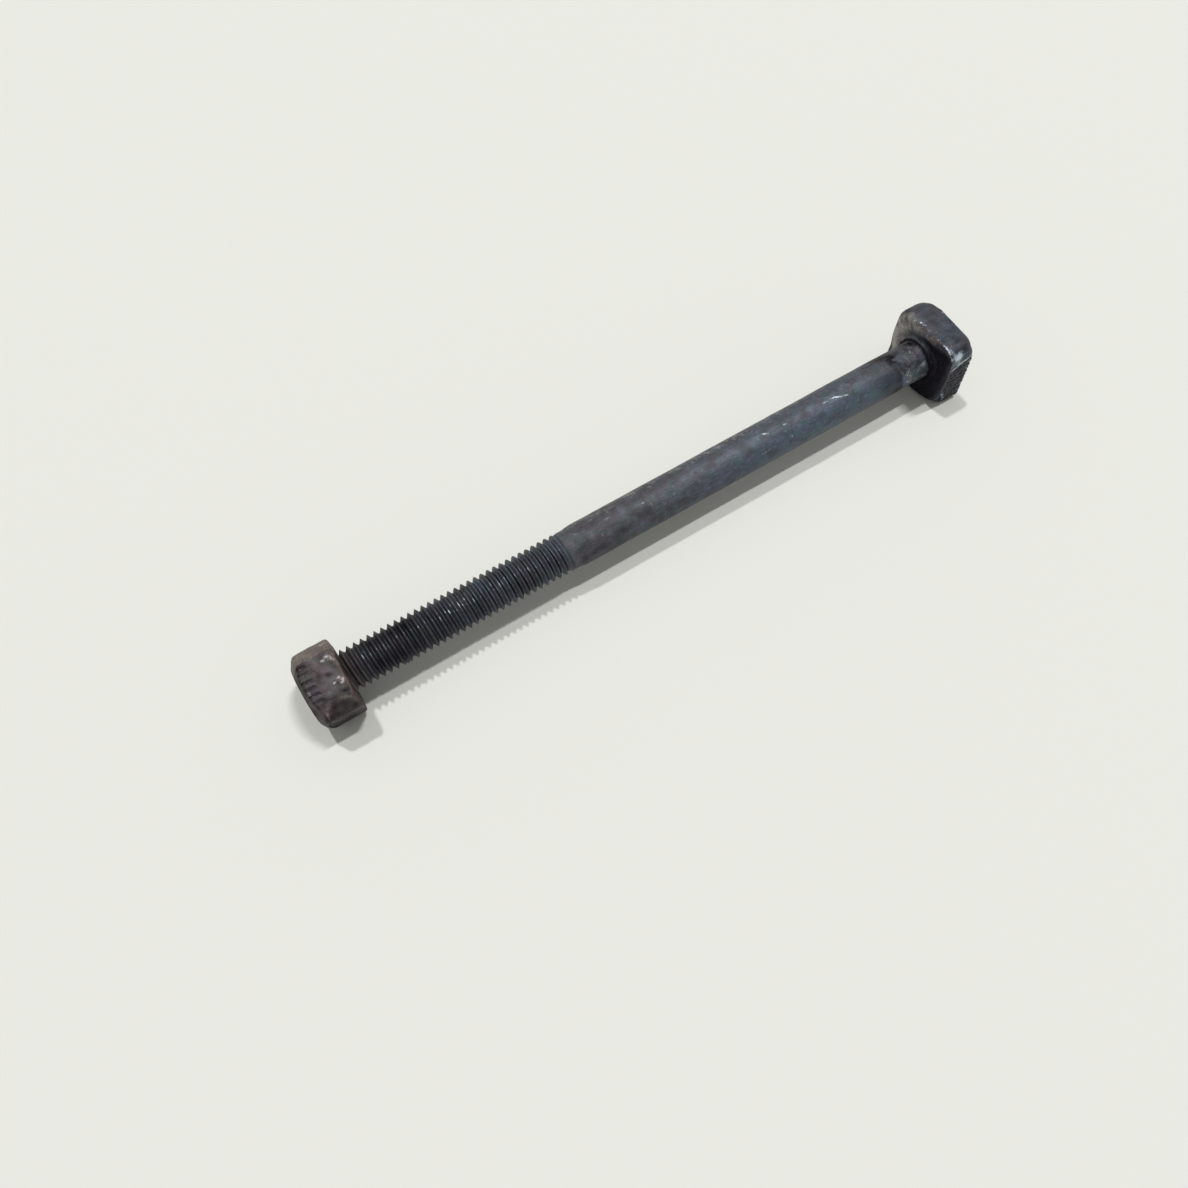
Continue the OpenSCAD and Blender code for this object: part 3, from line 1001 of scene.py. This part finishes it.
# %% [markdown]
# ## Dirt, rust, wear and painted light on the nut
#
# The nut is browner than the bolt. Its back corner is tan, and partly painted lighter as painted
# light where the lamp behind falls on it. Its front corner is dark inside a lighter rim, its front
# flat and underside are painted darker as painted shade, and tools left bright specks near the
# bearing face and dark bars near the outer one. Two bright specks at the back edge of the upper flat
# are a painted highlight.
# The nut is measured in its own directions, into it from the outer face, across its upper flat and
# outward from the middle, because it stands turned against the bolt.

# %% Where each point of the nut lies
x, radius, degrees = measures(nut_points)
into = x - NUT_OUT_X
turned = np.radians(degrees) - NUT_TURN
across, outward = radius * np.sin(turned), radius * np.cos(turned)
wave_5 = lumps(nut_points, 5, 61)
wave_2 = lumps(nut_points, 2, 62)
wave_1 = lumps(nut_points, 1.1, 63)
outside = smooth_step(radius, 5.4, 5.7)
on_top_flat = smooth_step(outward, 7.2, 7.6)
back_corner = outside * fall_off(angle_gap(np.radians(degrees), -30), 15.5, 18)
front_corner = outside * fall_off(angle_gap(np.radians(degrees), 62.5), 15.5, 18)
front_flat = outside * smooth_step(across, 7.3, 7.6)
chamfer_depth = np.clip((radius - OUTER_FACE_R) * CHAMFER, 0, None)
on_chamfer = outside * fall_off(into - chamfer_depth, 0.45, 0.7)
bar_zone = on_top_flat * fall_off(into, 3.6, 4.6) * smooth_step(into, 0.7, 1.2)
bar_zone = bar_zone * (1 - 0.7 * smooth_step(across, 3.4, 4.4))
bars = np.clip(wrench_prints(x, radius, np.radians(degrees)) / PRINT_DEPTH, 0, 1)
seam = bell(np.abs(across + 0.1), 4.85, 0.4) * smooth_step(outward, 5.5, 6.5)
nut_underside_shade = smooth_step(np.abs(degrees), 95, 140) * outside
print("points on the upper flat", int((on_top_flat > 0.5).sum()))

# %% The facet at the nut's front corner
corner_turn = (degrees - 75.5) / 22.0
facet_middle = (into - 5.95) / 3.25
facet_reach = (np.abs(facet_middle) ** 3 + np.abs(corner_turn) ** 3) ** (1 / 3)
facet_rim = bell(facet_reach, 1, 0.1) * outside * (np.abs(corner_turn) < 1.4)
facet_oval = fall_off(facet_reach, 0.75, 1.0) * outside
facet_rim = facet_rim * np.interp(
    np.degrees(np.arctan2(corner_turn, -facet_middle)),
    [-180, -150, -125, -95, -70, -45, -20, 20, 50, 72, 95, 135, 160, 180],
    [0.2, 0.35, 0.65, 0.05, 0.1, 0.8, 1.0, 0.9, 0.9, 0.95, 0.25, 0.3, 0.5, 0.3],
) * np.clip(0.85 + 0.25 * wave_1, 0, 1)
# Painted shade: the front flat, which faces down and away from the lamps, is made darker together with the
# facet's dark oval.
facet_dark_and_shade = np.maximum(0.14 * facet_oval, 0.25 * front_flat) + 0.06 * front_corner
facet_dark_and_shade = facet_dark_and_shade + spots(into, FACE_ARC * degrees, [
    (5.9, 9.3, 1.1, 0.5, 0, 0.12), (5.9, 13.4, 1.6, 0.6, 0, 0.25), (9.1, 7.3, 0.5, 0.9, 0, 0.4),
    (1.9, 7.2, 0.8, 1.3, 0, -0.25), (2.7, 9.0, 0.7, 0.9, 0, -0.45), (3.4, 8.8, 0.6, 0.4, 0, -0.2),
    (4.6, 10.4, 0.9, 0.8, 0, -0.12), (7.0, 10.2, 0.9, 0.8, 0, -0.12), (4.2, 16.0, 1.0, 0.7, 0, -0.35),
    (7.0, 16.2, 1.5, 0.7, 0, -0.15), (9.1, 14.0, 0.5, 2.6, 0, -0.2), (0.9, 9.5, 0.6, 2.0, 0, 0.14),
]) * outside
print("darkest part of the facet", round(float(facet_dark_and_shade.max()), 2))

# %% Dirt, rust, painted shade and painted light on the nut
mottle = 1 + (0.22 + 0.28 * on_top_flat * (1 - bar_zone)) * (1 - 0.6 * bar_zone) * wave_2 + 0.15 * wave_5
top_patches = spots(into, across, [
    (2.6, 3.2, 0.9, 1.5, 0, 0.16), (2.2, -3.2, 0.8, 1.2, 0, 0.14), (6.0, -2.2, 1.2, 0.8, 0, 0.1),
    (7.0, 3.4, 1.6, 0.6, -15, 0.16), (5.0, 4.4, 1.6, 0.5, 0, 0.2),
]) * on_top_flat
nut_grime_and_shade = 1 - outside + 0.44 * outside * np.clip(mottle, 0, 2) + 0.55 * bars + 0.12 * bar_zone
nut_grime_and_shade = nut_grime_and_shade + top_patches
nut_grime_and_shade = nut_grime_and_shade + (0.05 + 0.07 * smooth_step(into, 5, 7)) * seam + facet_dark_and_shade - 0.4 * facet_rim
nut_grime_and_shade = nut_grime_and_shade + 0.07 * on_chamfer * (1 + 1.5 * smooth_step(degrees, 55, 75))
# Painted shade: the underside is made darker. Painted light: the back corner, which faces the lamp behind,
# is made less dark.
nut_grime_and_shade = nut_grime_and_shade + 0.2 * nut_underside_shade - 0.22 * back_corner
nut_rust = outside * np.clip(0.25 + 0.2 * wave_5 + 0.15 * wave_2, 0, 1) + 0.7 * smooth_step(into, 8.4, 9.1)
# The back corner's tan is partly its own colour and partly painted light.
nut_dust_and_light = back_corner * np.clip(0.85 + 0.2 * wave_2, 0, 1) + 0.15 * on_chamfer * np.clip(1 + wave_5, 0, 2)
print("dirt outside the nut", round(float(nut_grime_and_shade[outside > 0.5].mean()), 2))

# %% Bright specks and a painted highlight, and the nut's maps go into its mesh
# Most marks are bright tool specks; the two at the back edge of the upper flat, near -6.3 mm across, are a
# painted highlight.
nut_specks_and_highlights = spots(into, across, [
    (7.1, -2.9, 0.4, 0.3, 20, 0.85), (8.3, -3.2, 0.5, 0.28, 10, 0.5), (8.8, -2.6, 0.3, 0.5, 0, 0.5),
    (9.1, -1.9, 0.25, 0.5, 0, 0.4), (7.1, 2.3, 0.45, 0.3, 0, 0.75), (8.3, 1.6, 0.35, 0.3, 30, 0.5),
    (8.9, 2.4, 0.25, 0.5, 20, 0.55), (9.1, 1.3, 0.2, 0.3, 0, 0.4), (8.3, 2.9, 0.35, 0.3, 0, 0.45),
    (8.5, -6.2, 0.9, 0.35, 0, 0.6), (8.1, -6.4, 0.3, 0.3, 0, 0.5), (8.2, -3.2, 1.5, 1.0, 0, 0.26),
    (8.2, 2.0, 1.4, 1.1, 0, 0.26),
]) * smooth_step(outward, 5, 6)
head_side_edge = smooth_step(into, 8.9, 9.3) * smooth_step(outward, 7.3, 7.8) * outside
between_bars = bar_zone * (1 - bars) * np.clip(0.3 + 0.3 * wave_1, 0, 0.6)
# The grime map also carries painted shade on the front flat and the underside, the dust map painted light
# on the back corner, and the worn map a painted highlight.
keep_map(nut, "grime", nut_grime_and_shade - 0.3 * head_side_edge)
keep_map(nut, "rust", nut_rust)
keep_map(nut, "dust_and_painted_light", nut_dust_and_light + 0.75 * facet_rim + 0.35 * head_side_edge)
keep_map(nut, "worn", 0.9 * nut_specks_and_highlights + 0.25 * facet_rim + 0.5 * between_bars)
keep_map(nut, "cool", bar_zone * np.clip(0.4 + 0.4 * wave_2, 0, 1) + 0.3 * np.clip(wave_5, 0, 1))
print("nut maps kept for", len(x), "points")

# %% [markdown]
# ## The finishes
#
# One recipe serves both pieces with different numbers. Its ground is dark steel, mottled at several
# sizes, a little bluer where the map says so. Over it come rust, dust, grime and bright metal, in
# the order in which they lie on the real surface, each with its own colour, roughness and share
# of metal. The dust also carries painted light, the grime painted shade and the bright metal
# painted highlights. Fine noise is added to every map before it is used, so that no layer has a
# smooth edge.

# %% Short words for shader nodes
class Finish:
    """A material under construction, with a few helpers that add and link its nodes."""

    def __init__(self, name):
        self.material = bpy.data.materials.new(name)
        self.material.use_nodes = True
        self.nodes = self.material.node_tree.nodes
        self.links = self.material.node_tree.links
        self.shader = self.nodes["Principled BSDF"]
        self.place = self.nodes.new("ShaderNodeTexCoord").outputs["Object"]

    def give(self, socket, value):
        """Puts a number or a colour on a socket, or links another socket to it."""
        if isinstance(value, bpy.types.NodeSocket):
            self.links.new(value, socket)
        elif isinstance(value, tuple):
            socket.default_value = (*value, 1)[:4]
        else:
            socket.default_value = value

    def noise(self, size, detail=3.0, stretch=(1, 1, 1), turn=(0, 0, 0), offset=0.0):
        """Noise with features about size mm large, stretched along the axes after a turn."""
        mapping = self.nodes.new("ShaderNodeMapping")
        mapping.inputs["Location"].default_value = (offset, offset, offset)
        mapping.inputs["Rotation"].default_value = [math.radians(v) for v in turn]
        mapping.inputs["Scale"].default_value = [1000 / size / v for v in stretch]
        self.links.new(self.place, mapping.inputs["Vector"])
        texture = self.nodes.new("ShaderNodeTexNoise")
        texture.inputs["Scale"].default_value = 1.0
        texture.inputs["Detail"].default_value = detail
        texture.inputs["Roughness"].default_value = 0.6
        self.links.new(mapping.outputs["Vector"], texture.inputs["Vector"])
        return texture.outputs["Fac"]

    def sum(self, operation, first, second):
        """Adds, subtracts, multiplies and so on, one number with another."""
        node = self.nodes.new("ShaderNodeMath")
        node.operation = operation
        self.give(node.inputs[0], first)
        self.give(node.inputs[1], second)
        return node.outputs[0]

    def span(self, value, low, high, to_low=0.0, to_high=1.0):
        """Carries the range from low to high over to the range from to_low to to_high."""
        node = self.nodes.new("ShaderNodeMapRange")
        for name, number in zip(("From Min", "From Max", "To Min", "To Max"), (low, high, to_low, to_high)):
            node.inputs[name].default_value = number
        self.links.new(value, node.inputs["Value"])
        return node.outputs["Result"]

    def mix(self, factor, first, second):
        """Goes from the first colour to the second as the factor goes from 0 to 1."""
        node = self.nodes.new("ShaderNodeMix")
        node.data_type = "RGBA"
        self.give(node.inputs[0], factor)
        self.give(node.inputs[6], first)
        self.give(node.inputs[7], second)
        return node.outputs[2]

    def scaled(self, colour, amount):
        """A colour times a number."""
        node = self.nodes.new("ShaderNodeVectorMath")
        node.operation = "SCALE"
        self.give(node.inputs[0], colour)
        self.give(node.inputs["Scale"], amount)
        return node.outputs["Vector"]

    def fade(self, factor, first, second):
        """Goes from the first number to the second as the factor goes from 0 to 1."""
        node = self.nodes.new("ShaderNodeMix")
        self.give(node.inputs[0], factor)
        self.give(node.inputs[2], first)
        self.give(node.inputs[3], second)
        return node.outputs[0]

    def map_of(self, name, breakup, low=0.35, high=0.65):
        """A map from the mesh, roughened: map plus noise, cut off softly between low and high."""
        attribute = self.nodes.new("ShaderNodeAttribute")
        attribute.attribute_name = name
        return self.span(self.sum("ADD", attribute.outputs["Fac"], breakup), low, high)


# %% The steel finish
def steel_finish(name, warm, cool, rust_colour, dust_and_light_colour, grime_and_shade_colour, wear_and_highlight_colour, roughness, metal):
    """Mottled dark steel under rust, dust, grime and bright wear; the dust also carries painted light,
    the grime painted shade and the wear painted highlights. Each layer is a row of its cover, colour,
    share of metal and roughness, and is laid over what the rows before it made."""
    finish = Finish(name)
    broad = finish.noise(3.2, 3, offset=3.1)
    middle = finish.noise(1.1, 4, offset=7.7)
    fine = finish.noise(0.32, 3, offset=1.3)
    drawn = finish.noise(0.42, 3, stretch=(5, 1, 1), turn=(0, 14, 16), offset=5.9)

    cold = finish.map_of("cool", finish.span(broad, 0.35, 0.65, -0.3, 0.3), 0, 1)
    bright = finish.span(broad, 0.3, 0.7, 0.75, 1.25)
    bright = finish.sum("MULTIPLY", bright, finish.span(middle, 0.3, 0.7, 0.75, 1.25))
    bright = finish.sum("MULTIPLY", bright, finish.span(fine, 0.3, 0.7, 0.85, 1.15))
    bright = finish.sum("MULTIPLY", bright, finish.span(drawn, 0.35, 0.7, 0.85, 1.3))
    patches = finish.span(finish.noise(2.4, 3, offset=11.3), 0.4, 0.6)
    ground = finish.mix(cold, finish.mix(patches, *warm), finish.mix(patches, *cool))
    colour = finish.scaled(ground, bright)

    small = finish.span(fine, 0.3, 0.7, -0.18, 0.18)
    break_up = finish.sum("ADD", finish.span(middle, 0.3, 0.7, -0.22, 0.22), small)
    rust = finish.map_of("rust", break_up, 0.2, 1.0)
    dust_and_painted_light = finish.map_of("dust_and_painted_light", break_up, 0.15, 1.1)
    grime = finish.map_of("grime", finish.span(middle, 0.3, 0.7, -0.12, 0.12), 0.0, 1.0)
    worn = finish.map_of("worn", finish.sum("ADD", break_up, -0.05), 0.2, 0.9)
    speckle = finish.span(fine, 0.35, 0.65)
    rough = finish.span(finish.sum("ADD", fine, middle), 0.7, 1.3, roughness - 0.08, roughness + 0.12)
    rough = finish.sum("SUBTRACT", rough, finish.sum("MULTIPLY", cold, 0.14))

    # The grime row also lays painted shade, the dust row painted light and the worn row painted highlights
    # and glints, wherever their maps carry them.
    layers = [
        (rust, finish.mix(speckle, *rust_colour), 0.1, 0.75),
        (dust_and_painted_light, finish.mix(speckle, *dust_and_light_colour), 0.0, 0.8),
        (grime, grime_and_shade_colour, 1.0, 0.5),
        (worn, wear_and_highlight_colour, 0.85, 0.36),
    ]
    for cover, its_colour, its_metal, its_roughness in layers:
        colour = finish.mix(cover, colour, its_colour)
        metal = finish.fade(cover, metal, its_metal)
        rough = finish.fade(cover, rough, its_roughness)
    results = {"Base Color": colour, "Metallic": metal, "Roughness": rough}
    for socket, value in results.items():
        finish.give(finish.shader.inputs[socket], value)

    bump = finish.nodes.new("ShaderNodeBump")
    bump.inputs["Strength"].default_value = 0.6
    bump.inputs["Distance"].default_value = 0.00012
    relief = finish.sum("ADD", middle, finish.sum("MULTIPLY", fine, 0.6))
    finish.give(bump.inputs["Height"], finish.sum("ADD", relief, finish.sum("MULTIPLY", drawn, 0.4)))
    finish.links.new(bump.outputs["Normal"], finish.shader.inputs["Normal"])
    print(name, "uses", len(finish.nodes), "nodes")
    return finish.material


bolt.data.materials.append(steel_finish(
    "oil-blackened steel",
    warm=((0.074, 0.064, 0.080), (0.058, 0.068, 0.074)),
    cool=((0.062, 0.074, 0.112), (0.048, 0.080, 0.101)),
    rust_colour=((0.060, 0.043, 0.040), (0.11, 0.090, 0.082)),
    dust_and_light_colour=((0.34, 0.31, 0.285), (0.54, 0.51, 0.475)),
    grime_and_shade_colour=(0.012, 0.010, 0.016),
    wear_and_highlight_colour=(0.48, 0.545, 0.63),
    roughness=0.6,
    metal=0.4,
))
nut.data.materials.append(steel_finish(
    "brown rusted steel",
    warm=((0.088, 0.064, 0.072), (0.066, 0.066, 0.058)),
    cool=((0.064, 0.054, 0.086), (0.056, 0.064, 0.080)),
    rust_colour=((0.070, 0.042, 0.038), (0.115, 0.085, 0.078)),
    dust_and_light_colour=((0.19, 0.155, 0.13), (0.30, 0.245, 0.205)),
    grime_and_shade_colour=(0.014, 0.010, 0.012),
    wear_and_highlight_colour=(0.36, 0.33, 0.33),
    roughness=0.62,
    metal=0.3,
))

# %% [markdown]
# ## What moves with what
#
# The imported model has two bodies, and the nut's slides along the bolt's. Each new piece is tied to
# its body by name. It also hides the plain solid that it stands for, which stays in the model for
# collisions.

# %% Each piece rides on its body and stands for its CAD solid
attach(bolt, "bolt")
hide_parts("bolt")
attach(nut, "nut")
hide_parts("nut")
